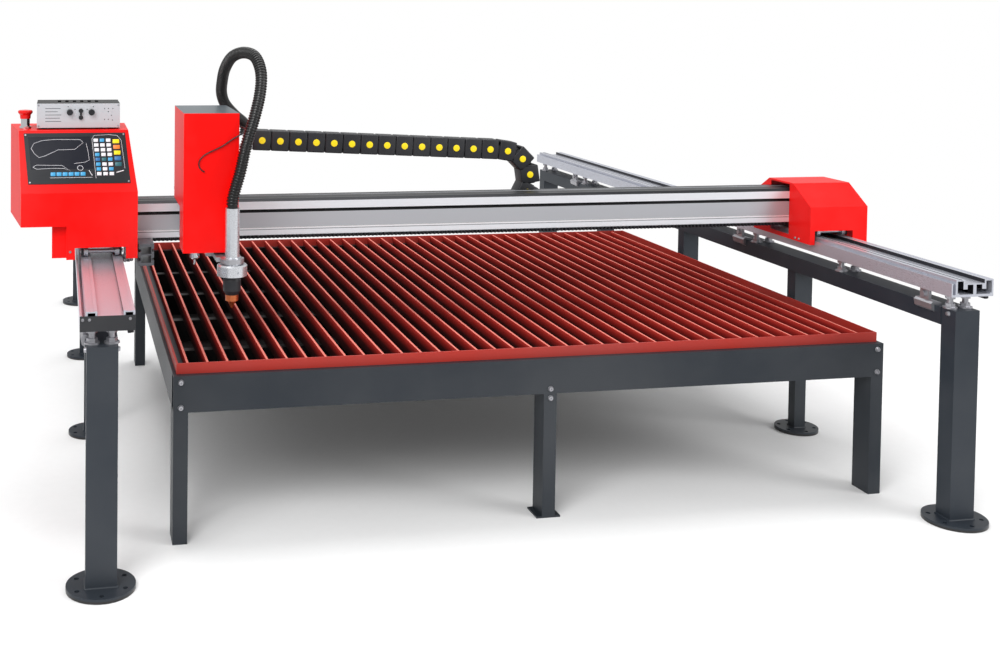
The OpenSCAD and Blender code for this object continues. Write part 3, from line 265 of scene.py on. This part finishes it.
def finish_of(name, colour, metal=0.0, rough=(0.35, 0.5), grain=60.0, stretch=(1, 1, 1), depth=0.04,
              wear=0.15, coat=0.0, extra=None, gloss=0.5):
    m = bpy.data.materials.new(name)
    m.use_nodes = True
    tree = m.node_tree
    shader = tree.nodes["Principled BSDF"]
    where = Val(tree, tree.nodes.new("ShaderNodeTexCoord").outputs["Object"])
    spread = where.node("ShaderNodeMapping", Vector=where, Scale=stretch)
    fine = where.node("ShaderNodeTexNoise", Vector=spread, Scale=grain, Detail=6.0, Roughness=0.6)
    broad = where.node("ShaderNodeTexNoise", Vector=where, Scale=2.3, Detail=5.0, Roughness=0.55)
    base = lin(colour)
    worn = tuple(min(1, v * (1 - wear) + (0.02 if not metal else 0)) for v in base[:3]) + (1.0,)
    tone = ramp(broad, [(0.38, base), (0.66, worn)])
    dusty = tuple(v * 0.93 + 0.012 for v in base[:3]) + (1.0,)
    tone = blend_colour(tone, dusty, (fine - 0.35) * 0.7)
    if extra:
        tone = extra(where, tone)
    tree.links.new(tone.socket, shader.inputs["Base Color"])
    shine = where.node("ShaderNodeMapRange", Value=fine * 0.6 + broad * 0.4, To_Min=rough[0], To_Max=rough[1],
                       From_Min=0.3, From_Max=0.7)
    tree.links.new(shine.socket, shader.inputs["Roughness"])
    bump = where.node("ShaderNodeBump", Height=fine, Strength=depth, Distance=0.001)
    tree.links.new(bump.socket, shader.inputs["Normal"])
    shader.inputs["Metallic"].default_value = metal
    shader.inputs["Coat Weight"].default_value = coat
    shader.inputs["Specular IOR Level"].default_value = gloss
    return m


print("shader helpers ready")

# %% [markdown]
# The finishes of the machine. The beam, the rails, the slats and the table take one more step:
# painted highlight and shade that follow their height, their place or the way they face.

# %% Finishes
def facing_up(where):
    g = Val(where.tree, where.tree.nodes.new("ShaderNodeNewGeometry").outputs["Normal"])
    return g.node("ShaderNodeSeparateXYZ", 2, Vector=g) > 0.7


# The beam's front face is painted in bands: a painted highlight line, a black painted shade band over the groove, and
# light, mid and grey strips. Its upward faces are dark grey.
def beam_painted_light_bands(where, tone):
    z = where.node("ShaderNodeSeparateXYZ", 2, Vector=where)
    h = (z - 0.721) * (1 / 0.112)
    light, mid, black = lin((0.90, 0.91, 0.93)), lin((0.71, 0.72, 0.74)), lin((0.05, 0.05, 0.06))
    band = ramp(h, [(0.0, light), (0.175, lin((0.97, 0.97, 0.98))), (0.215, mid), (0.625, black),
                    (0.705, light), (0.93, lin((0.45, 0.46, 0.47)))], hard=True)
    front = blend_colour(tone, band, where.node("ShaderNodeSeparateXYZ", 1, Vector=where) < -0.7)
    return blend_colour(front, lin((0.16, 0.165, 0.18)), facing_up(where))


# Slat sides darken towards the bottom: painted shade between the slats. Their top faces are a light pink: a painted
# highlight.
def slat_painted_shade_and_highlight(where, tone):
    z = where.node("ShaderNodeSeparateXYZ", 2, Vector=where)
    h = (z - 0.423) * (1 / 0.050)
    side = ramp(h, [(0.0, lin((0.07, 0.02, 0.02))), (0.45, lin((0.20, 0.04, 0.04))), (0.75, lin((0.55, 0.11, 0.09))),
                    (1.0, lin((0.78, 0.22, 0.18)))])
    return blend_colour(side, lin((0.84, 0.46, 0.41)), facing_up(where))


# Inside the table, under the slats, the frame's colour turns near black: painted shade under the slats.
def painted_shade_inside_table(where, tone):
    x = where.node("ShaderNodeSeparateXYZ", 0, Vector=where)
    y = where.node("ShaderNodeSeparateXYZ", 1, Vector=where)
    inside = (x > -0.898) * (x < 1.126) * (y > -1.227) * (y < 0.418)
    return blend_colour(tone, lin((0.035, 0.03, 0.032)), inside)


def uneven_tray_patches(where, tone):
    return blend_colour(tone, lin((0.11, 0.06, 0.055)), where.node("ShaderNodeTexNoise", Vector=where, Scale=9.0) * 0.5)


def facing_sideways(where):
    g = Val(where.tree, where.tree.nodes.new("ShaderNodeNewGeometry").outputs["Normal"])
    x = g.node("ShaderNodeSeparateXYZ", 0, Vector=g)
    return x * x > 0.6


# On each rail the side walls of the recess are painted dark grey: painted shade on the recess walls.
def rail_painted_recess_shade(where, tone):
    from_middle = where.node("ShaderNodeSeparateXYZ", 0, Vector=where) - (0.0775)
    off_centre = from_middle._op("ABSOLUTE", 0.0) - 1.185
    in_recess = off_centre * off_centre < 0.045 ** 2
    return blend_colour(tone, lin((0.16, 0.16, 0.18)), facing_sideways(where) * in_recess)


def grey_lid(where, tone):
    return blend_colour(tone, lin((0.36, 0.39, 0.41)), facing_up(where))


RED_PAINT = (0.95, 0.014, 0.003)
DARK_PAINT = (0.115, 0.14, 0.17)
MAT = {
    "red": finish_of("red_paint", RED_PAINT, rough=(0.30, 0.42), grain=900, depth=0.03, wear=0.03,
                     gloss=0.14),
    "lid": finish_of("red_paint_grey_lid", RED_PAINT, rough=(0.30, 0.42), grain=900, depth=0.03, wear=0.03,
                     gloss=0.14, extra=grey_lid),
    "rim": finish_of("rim_red_oxide", (0.66, 0.17, 0.13), rough=(0.42, 0.6), grain=300, depth=0.05,
                     wear=0.18, gloss=0.3),
    "slat": finish_of("slat_primer", (0.43, 0.09, 0.07), rough=(0.5, 0.7), grain=120, depth=0.10,
                      wear=0.35, gloss=0.2,
                      extra=slat_painted_shade_and_highlight),
    "grey": finish_of("slate_paint", (0.125, 0.155, 0.19), rough=(0.36, 0.5), grain=700, depth=0.04,
                      wear=0.12, gloss=0.35),
    "charcoal": finish_of("charcoal_paint", DARK_PAINT, rough=(0.38, 0.52), grain=700, depth=0.04,
                          wear=0.12, gloss=0.35),
    # The slag trays are near black: painted shade under the slats, with random brownish patches.
    "tray": finish_of("tray_steel_painted_shade", (0.02, 0.018, 0.02), rough=(0.6, 0.8), grain=160, depth=0.12,
                      wear=0.2, gloss=0.1,
                      extra=uneven_tray_patches),
    "frame": finish_of("frame_paint", DARK_PAINT, rough=(0.38, 0.52), grain=700, depth=0.04, wear=0.12,
                       gloss=0.35,
                       extra=painted_shade_inside_table),
    "rail": finish_of("rail_aluminium", (0.80, 0.81, 0.85), 0.6, (0.24, 0.34), 90, (40, 1, 40), 0.02,
                      0.08, extra=rail_painted_recess_shade),
    "beam": finish_of("beam_aluminium", (0.84, 0.85, 0.87), 0.45, (0.30, 0.42), 90, (1, 40, 40), 0.03,
                      0.06, extra=beam_painted_light_bands),
    "stub": finish_of("shaded_aluminium", (0.42, 0.43, 0.45), 0.7, (0.26, 0.40), 200, depth=0.03, wear=0.08),
    "coated": finish_of("case_coating", (0.03, 0.035, 0.045), rough=(0.42, 0.56), grain=700,
                        depth=0.04, wear=0.1, gloss=0.3),
    "steel": finish_of("bright_steel", (0.70, 0.70, 0.72), 0.75, (0.26, 0.40), 220, (1, 1, 6), 0.05, 0.12),
    "dark": finish_of("black_oxide", (0.13, 0.13, 0.15), 0.4, (0.4, 0.55), 240, depth=0.06, wear=0.2),
    "alu": finish_of("turned_aluminium", (0.86, 0.87, 0.89), 0.8, (0.22, 0.34), 200, (1, 1, 14), 0.03, 0.06),
    "plate": finish_of("brushed_front", (0.80, 0.81, 0.83), 0.5, (0.32, 0.45), 160, (1, 12, 12), 0.04, 0.10),
    "chrome": finish_of("chrome", (0.86, 0.87, 0.88), 1.0, (0.08, 0.16), 150, depth=0.01, wear=0.05),
    "copper": finish_of("copper_tip", (0.80, 0.45, 0.28), 0.9, (0.26, 0.40), 260, (1, 1, 10), 0.05, 0.25),
    "rubber": finish_of("black_rubber", (0.025, 0.025, 0.028), rough=(0.24, 0.36), grain=420,
                        depth=0.10, wear=0.2),
    "nylon": finish_of("black_nylon", (0.10, 0.105, 0.125), rough=(0.38, 0.52), grain=500, depth=0.06,
                       wear=0.15, gloss=0.35),
    "yellow": finish_of("yellow_nylon", (0.99, 0.88, 0.04), rough=(0.35, 0.5), grain=500, depth=0.05,
                        wear=0.06, gloss=0.3),
    "plastic_red": finish_of("button_red", (0.86, 0.06, 0.05), rough=(0.2, 0.3), grain=500, depth=0.02,
                             wear=0.05, coat=0.2, gloss=0.3),
    "film": finish_of("panel_film", (0.045, 0.06, 0.09), rough=(0.35, 0.45), grain=600, depth=0.02,
                      wear=0.05, gloss=0.3),
    "blue": finish_of("key_blue", (0.12, 0.42, 0.66), rough=(0.35, 0.45), grain=600, depth=0.02, wear=0.05),
    "cyan": finish_of("key_cyan", (0.22, 0.62, 0.82), rough=(0.35, 0.45), grain=600, depth=0.02, wear=0.05),
    "teal": finish_of("key_teal", (0.10, 0.38, 0.42), rough=(0.35, 0.45), grain=600, depth=0.02, wear=0.05),
    "orange": finish_of("key_orange", (0.95, 0.50, 0.14), rough=(0.35, 0.45), grain=600, depth=0.02,
                        wear=0.05),
    "white": finish_of("print_white", (0.90, 0.90, 0.92), rough=(0.4, 0.5), grain=600, depth=0.02, wear=0.04),
    "ink": finish_of("print_grey", (0.22, 0.23, 0.25), rough=(0.4, 0.5), grain=600, depth=0.02, wear=0.04),
    "screen": finish_of("screen_glass", (0.075, 0.085, 0.13), rough=(0.12, 0.2), grain=300, depth=0.01,
                        wear=0.08, gloss=0.35),
}
print(len(MAT), "finishes")

# %% [markdown]
# Every imported node takes its finish here. A small bevel on each node listed in EDGE catches the light along
# its edges, as folded sheet and sawn tube do.

# %% Finish every node
FINISH = {
    "rail": "rails",
    "nylon": "rail_end_cap",
    "grey": "support_tubes end_posts mid_post_sleeves mid_post_legs base_plates",
    "rubber": "base_pads",
    "steel": "levelling_bolts rail_clamps frame_bolts console_screws left_pinion right_pinion "
             "wheels_left_front wheels_left_rear wheels_right_front wheels_right_rear "
             "cross_pinion lead_screw carriage_plate lift_block",
    "dark": "travel_racks cross_rack end_trucks",
    "frame": "table_frame",
    "charcoal": "table_legs chain_tray drive_motors carriage_motors",
    "coated": "height_case",
    "red": "console_housing console_back_cover right_end_cover",
    "lid": "lifter_cover",
    "rim": "slat_rim",
    "slat": "slats",
    "tray": "slag_trays",
    "beam": "gantry_beam",
    "plate": "height_front_plate",
    "stub": "stub_profile",
    "alu": "breakaway_ring torch_tube",
    "chrome": "estop_collar guide_rods probe_cup",
    "copper": "torch_nozzle",
    "plastic_red": "estop_button",
    "film": "control_panel",
    "screen": "display_screen",
    "blue": "panel_keys",
}
for key, names in FINISH.items():
    for name in names.split():
        NODES[name].data.materials.clear()
        NODES[name].data.materials.append(MAT[key])
for name in ("left_knob", "right_knob", "set_button", "torch_head", "chain_lower_run",
             "chain_upper_run", "chain_bend_links", "sensor_lead", "torch_hose"):
    NODES[name].data.materials.clear()
    NODES[name].data.materials.append(MAT["nylon"])
EDGE = {"console_housing": 0.0012, "right_end_cover": 0.0012, "lifter_cover": 0.0012, "end_posts": 0.003,
        "support_tubes": 0.003, "table_frame": 0.002, "table_legs": 0.002, "slat_rim": 0.0012, "height_case": 0.001,
        "height_front_plate": 0.0008, "mid_post_sleeves": 0.002, "mid_post_legs": 0.002, "base_plates": 0.0012,
        "control_panel": 0.0008, "lift_block": 0.0008, "breakaway_ring": 0.0008, "rail_clamps": 0.0008}
for name, width in EDGE.items():
    m = NODES[name].modifiers.new("edge", "BEVEL")
    m.width, m.segments, m.limit_method, m.angle_limit = width, 2, "ANGLE", math.radians(40)
print("finished", sum(len(v.split()) for v in FINISH.values()), "nodes")

# %% [markdown]
# ## Torch hose
# The ribbed hose leaves the end of the drag chain behind the lifter box, makes one tall loop over
# the box and drops into the torch.
# Its rings ride on a core, and both follow one drawn line.

# %% Torch hose
HOSE = smooth_path([(-0.650, -0.588, 1.0203), (-0.650, -0.588, 1.0483), (-0.687, -0.626, 1.080), (-0.7235, -0.668, 1.118),
                    (-0.7395, -0.700, 1.154), (-0.7435, -0.740, 1.192), (-0.7415, -0.790, 1.235), (-0.7295, -0.860, 1.273),
                    (-0.7045, -0.920, 1.288), (-0.6805, -0.980, 1.278), (-0.6695, -1.020, 1.236), (-0.6745, -1.040, 1.178),
                    (-0.6935, -1.060, 1.109), (-0.7175, -1.075, 1.036), (-0.7355, -1.085, 0.962), (-0.7495, -1.087, 0.914),
                    (-0.7565, -1.088, 0.884), (-0.7565, -1.088, 0.8623)])
hose_line = path_curve("hose_line", HOSE)
hose_len = length_of(HOSE)
bpy.ops.mesh.primitive_torus_add(major_radius=0.0147, minor_radius=0.0027, major_segments=32, minor_segments=8,
                                 rotation=(0, math.pi / 2, 0))
rib = settled(bpy.context.object, "hose_ribs")
pitch_len = 0.0076
rib = row_of(rib, int(hose_len / pitch_len), (pitch_len, 0, 0))
bend = rib.modifiers.new("route", "CURVE")
bend.object, bend.deform_axis = hose_line, "POS_X"
applied(rib, bend)
core = path_curve("hose_core", HOSE, 0.0146)
core.data.bevel_resolution = 6
only(core)
bpy.ops.object.convert(target="MESH")
hose = joined("torch_hose_ribbed", [core, rib])
only(hose)
bpy.ops.object.shade_smooth()
bpy.data.objects.remove(hose_line)
hose.data.materials.clear()
hose.data.materials.append(MAT["rubber"])
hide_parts("torch_hose")
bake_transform(hose)
[tuple(p) for p in HOSE]
print("hose", round(hose_len, 3), "m,", len(hose.data.polygons), "faces")

# %% [markdown]
# ## Sensor lead
# A thin lead comes out of the side of the lifter box, passes beside the hose and goes back
# into the front of the box.

# %% Sensor lead
LEAD_OUT = (-0.7327, -1.0433)
LEAD = smooth_path([(LEAD_OUT[0] + x, LEAD_OUT[1] + y, z) for x, y, z in (
    (0, 0.0583, 1.078), (0.009, 0.0583, 1.078), (0.018, 0.0413, 1.077), (0.019, 0.0153, 1.073),
    (0.005, -0.005, 1.064), (-0.022, -0.005, 1.048), (-0.045, -0.005, 1.032), (-0.067, -0.005, 1.021),
    (-0.089, -0.005, 1.011), (-0.105, -0.005, 1.000), (-0.114, -0.005, 0.986), (-0.113, -0.006, 0.972),
    (-0.107, -0.007, 0.964), (-0.100, -0.008, 0.959), (-0.100, 0, 0.959))], 8)
lead = path_curve("sensor_lead_wire", LEAD, 0.0019)
lead.data.materials.append(MAT["rubber"])
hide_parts("sensor_lead")
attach(lead, "carriage")
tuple(LEAD[0])
length_of(LEAD)
print("lead", round(length_of(LEAD), 3), "m")

# %% [markdown]
# ## Drag chain
# One link is a rounded black box with a yellow button in each side. The two straight runs are
# rows of it, and the bend is five links turned about the middle of the loop.

# %% One chain link
def chain_link(length):
    body = block("link", (-length / 2, -0.031, -0.032), (length / 2, 0.031, 0.032), 0.004, 3)
    hollow = block("hollow", (-length, -0.0255, -0.026), (length, 0.0255, 0.026), 0.002)
    cut = body.modifiers.new("cut", "BOOLEAN")
    cut.object, cut.operation, cut.solver = hollow, "DIFFERENCE", "EXACT"
    applied(body, cut)
    bpy.data.objects.remove(hollow)
    sides = []
    for side in (-1, 1):
        sides.append(disc("dish", (0, side * 0.0305, 0), 0.0135, 0.0016, (math.pi / 2, 0, 0), 0.0003, 32))
    lug = block("lug", (-length / 2 - 0.002, -0.0275, -0.014), (length / 2 + 0.002, 0.0275, 0.014), 0.001)
    hollow = block("hollow", (-length, -0.0245, -0.03), (length, 0.0245, 0.03), 0.001)
    cut = lug.modifiers.new("cut", "BOOLEAN")
    cut.object, cut.operation, cut.solver = hollow, "DIFFERENCE", "EXACT"
    applied(lug, cut)
    bpy.data.objects.remove(hollow)
    return joined("link", [body, lug] + sides)


def chain_buttons():
    dots = []
    for side in (-1, 1):
        dots.append(disc("dot", (0, side * 0.0313, 0), 0.0108, 0.0016, (math.pi / 2, 0, 0), 0.0005, 32))
    return joined("buttons", dots)


def straight_run(name, x0, x1, z, rise=0.0):
    count = round((x1 - x0) / 0.059)
    step = (x1 - x0) / count
    made = []
    end = Matrix.Translation((x1, 0, z))
    tilt = end @ Matrix.Rotation(math.asin(rise / (x1 - x0)), 4, "Y") @ end.inverted()
    for part, mat in ((chain_link(step - 0.0015), "nylon"), (chain_buttons(), "yellow")):
        part.location = (x0 + step / 2, -0.588, z)
        part = settled(part, name + "_" + mat)
        part = row_of(part, count, (step, 0, 0))
        part.matrix_world = tilt
        part = settled(part, part.name)
        part.data.materials.clear()
        part.data.materials.append(MAT[mat])
        made.append(part)
    return made


upper, upper_dots = straight_run("chain_upper", -0.6281, 0.1944, 0.9588, 0.040)
lower, lower_dots = straight_run("chain_lower", -0.929, 0.2237, 0.7612)
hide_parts("chain_upper_run")
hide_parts("chain_lower_run")
for o in (upper, upper_dots):
    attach(o, "carriage")
    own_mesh(o)
for o in (lower, lower_dots):
    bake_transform(o)
print("straight runs made")

# %% Chain bend
turned_parts = {"nylon": [], "yellow": []}
for k in range(5):
    for mat, part in (("nylon", chain_link(0.0570)), ("yellow", chain_buttons())):
        part.matrix_world = (Matrix.Translation((0.211, -0.588, 0.860)) @ Matrix.Rotation(math.radians(63 - 36 * k), 4, "Y")
                             @ Matrix.Translation((0.0951, 0, 0)) @ Matrix.Rotation(math.pi / 2, 4, "Y"))
        turned_parts[mat].append(settled(part, "bend_" + mat))
for mat, parts in turned_parts.items():
    whole = joined("chain_bend_" + mat, parts)
    whole.data.materials.clear()
    whole.data.materials.append(MAT[mat])
    if mat == "nylon":
        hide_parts("chain_bend_links")
    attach(whole, "chain_bend")
print("bend made")

# %% [markdown]
# ## Control panel
# The dark panel lies on the slope of the console and leans a little with its right side. It has a
# screen with a plain line drawing, a row of function keys and a block of small coloured keys.

# %% Control panel
slope = (Matrix.Translation((-1.179, -0.848, 0.9675)) @ Matrix.Rotation(math.radians(90) - math.atan(60 / 175), 4, "X")
         @ Matrix.Translation((0, 0.009, 0)))
LEAN = 0.10
KEY_BASE, KEY_TOP = 0.0015, 0.0036


def on_panel(o, mat, name):
    o.matrix_world = slope @ o.matrix_world
    o = settled(o, name)
    o.data.materials.clear()
    o.data.materials.append(MAT[mat])
    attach(o, "gantry")
    return o


def key(x, y, w, h):
    middle = y + h / 2
    x -= middle * LEAN
    return block("key", (x, y, KEY_BASE), (x + w, y + h, KEY_TOP), 0.0008)


keys = {name: [] for name in ("cyan", "blue", "white", "teal", "orange", "yellow")}
for k in range(6):
    keys["cyan"].append(key(-0.080 + k * 0.017, -0.052, 0.014, 0.011))
plan = ["white white white", "cyan white cyan", "cyan white white", "blue teal cyan", "cyan white white",
        "white white white", "white white white", "white cyan white"]
for ky, names in enumerate(plan):
    for kx, kind in enumerate(names.split()):
        keys[kind].append(key(0.052 + kx * 0.018, -0.052 + ky * 0.0142, 0.013, 0.010))
for ky, kind in enumerate(("teal", "blue", "yellow", "orange", "yellow")):
    keys[kind].append(key(0.107, -0.025 + ky * 0.017, 0.019, 0.012))
made = [on_panel(joined("keys_" + kind, parts), kind, "panel_keys_" + kind) for kind, parts in keys.items()]
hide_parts("panel_keys")
print(sum(len(v) for v in keys.values()), "keys")

# %% [markdown]
# The printed lines are thin tubes along drawn paths. They outline a plate to be cut on the screen
# and frame the block of keys. The front of the height box has plain printed rules and dots.

# %% Printed lines
def stroke(points, z, width=0.0005, closed=False):
    pts = [(x - y * LEAN, y, z) for x, y in points]
    return path_curve("line", pts + pts[:1] if closed else pts, width)


def meshed(curves, name):
    only(curves[0])
    for o in curves:
        o.select_set(True)
    bpy.ops.object.convert(target="MESH")
    return joined(name, [o for o in bpy.context.selected_objects])


plate = [(-0.128, 0.030), (-0.119, 0.045), (-0.095, 0.053), (-0.060, 0.056), (0.014, 0.055),
         (0.022, 0.046), (-0.004, 0.026),
         (-0.052, 0.025), (-0.090, 0.008), (-0.108, 0.003), (-0.120, 0.014)]
tail = [(-0.128, -0.025), (-0.118, -0.019), (-0.045, -0.021), (-0.022, -0.038), (-0.040, -0.030),
        (-0.072, -0.029), (-0.118, -0.031)]
edge = [(0.030, 0.044), (0.033, 0.020), (0.034, -0.006), (0.022, -0.012), (-0.010, -0.016)]
bay = [(0.048, -0.060), (0.048, 0.056), (0.055, 0.067), (0.100, 0.069), (0.122, 0.066), (0.132, 0.052),
       (0.134, -0.032)]
ring = [(0.006 + 0.008 * math.cos(a * math.pi / 8), -0.029 + 0.007 * math.sin(a * math.pi / 8)) for a in range(16)]
SCREEN_TOP, FILM_TOP = 0.0026, 0.0031
screen_lines = [stroke(plate, SCREEN_TOP, closed=True), stroke(tail, SCREEN_TOP, closed=True),
                stroke(edge, SCREEN_TOP), stroke(ring, SCREEN_TOP, 0.0007, True)]
film_lines = [stroke(bay, FILM_TOP), stroke([(0.108, -0.044), (0.130, -0.038)], FILM_TOP, 0.0014),
              stroke([(-0.082, -0.057), (0.038, -0.057)], FILM_TOP), stroke([(0.030, -0.036), (0.038, -0.052)], FILM_TOP, 0.0010)]
on_panel(meshed(screen_lines, "drawing"), "white", "screen_drawing")
on_panel(meshed(film_lines, "print"), "white", "panel_print")

BOX_X, BOX_FRONT, BOX_Z = -1.295, -0.7911, 1.060
rules = []
for row, (x0, x1) in enumerate(((0.024, 0.070), (0.024, 0.066), (0.024, 0.070), (0.024, 0.060), (0.024, 0.068))):
    z = BOX_Z + 0.018 + row * 0.0095
    rules.append(block("rule", (BOX_X + x0, BOX_FRONT - 0.0001, z), (BOX_X + x1, BOX_FRONT + 0.0002, z + 0.0016), 0.0001, 1))
for x, z in ((0.090, 0.062), (0.163, 0.062), (0.196, 0.056), (0.207, 0.056), (0.220, 0.056), (0.207, 0.047), (0.216, 0.036),
             (0.196, 0.024), (0.207, 0.024), (0.219, 0.022), (0.110, 0.054), (0.145, 0.054)):
    rules.append(disc("dot", (BOX_X + x, BOX_FRONT, BOX_Z + z), 0.0016, 0.0004, (math.pi / 2, 0, 0), 0.0001, 20))
rules = joined("height_box_print", rules)
rules.data.materials.clear()
rules.data.materials.append(MAT["ink"])
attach(rules, "gantry")
print("printed lines made")

# %% [markdown]
# ## Floor, light and background
# A pale floor takes soft shadows, and the background stays white behind the machine.

# %% Floor and lamps
bpy.ops.mesh.primitive_plane_add(size=12, location=(0, 0, 0))
floor = bpy.context.object
floor.name = "floor"
paint = finish_of("floor_white", (0.97, 0.97, 0.97), rough=(0.7, 0.85), grain=40, depth=0.01, wear=0.01)
floor.data.materials.append(paint)
tree = paint.node_tree
spot = Val(tree, tree.nodes.new("ShaderNodeTexCoord").outputs["Object"])
far = spot.node("ShaderNodeVectorMath", 1, Vector=spot)
far.socket.node.operation = "LENGTH"
fade = spot.node("ShaderNodeMapRange", Value=far, From_Min=1.9, From_Max=3.6)
mix = tree.nodes.new("ShaderNodeMixShader")
clear = tree.nodes.new("ShaderNodeBsdfTransparent")
tree.links.new(fade.socket, mix.inputs[0])
tree.links.new(tree.nodes["Principled BSDF"].outputs[0], mix.inputs[1])
tree.links.new(clear.outputs[0], mix.inputs[2])
tree.links.new(mix.outputs[0], tree.nodes["Material Output"].inputs["Surface"])


def lamp(name, at, towards, size, watts):
    bpy.ops.object.light_add(type="AREA", location=at)
    o = bpy.context.object
    o.name = name
    o.rotation_euler = (Vector(towards) - Vector(at)).to_track_quat("-Z", "Y").to_euler()
    o.data.size, o.data.energy = size, watts
    return o


lamp("key", (-3.2, -5.0, 4.2), (0, 0, 0.6), 3.0, 230)
lamp("fill", (4.5, -4.0, 2.6), (0, 0, 0.6), 3.0, 120)
lamp("top", (0.0, 1.0, 5.5), (0, 0, 0.5), 4.0, 190)
world = bpy.data.worlds.new("studio")
bpy.context.scene.world = world
world.use_nodes = True
wt = world.node_tree
back = wt.nodes["Background"]
path = wt.nodes.new("ShaderNodeLightPath")
shown = Val(wt, path.outputs["Is Camera Ray"])
level = shown * 0.35 + 0.65
wt.links.new(level.socket, back.inputs["Strength"])
back.inputs["Color"].default_value = (1, 1, 1, 1)
bpy.context.scene.view_settings.view_transform = "Standard"
print("lamps and floor ready")
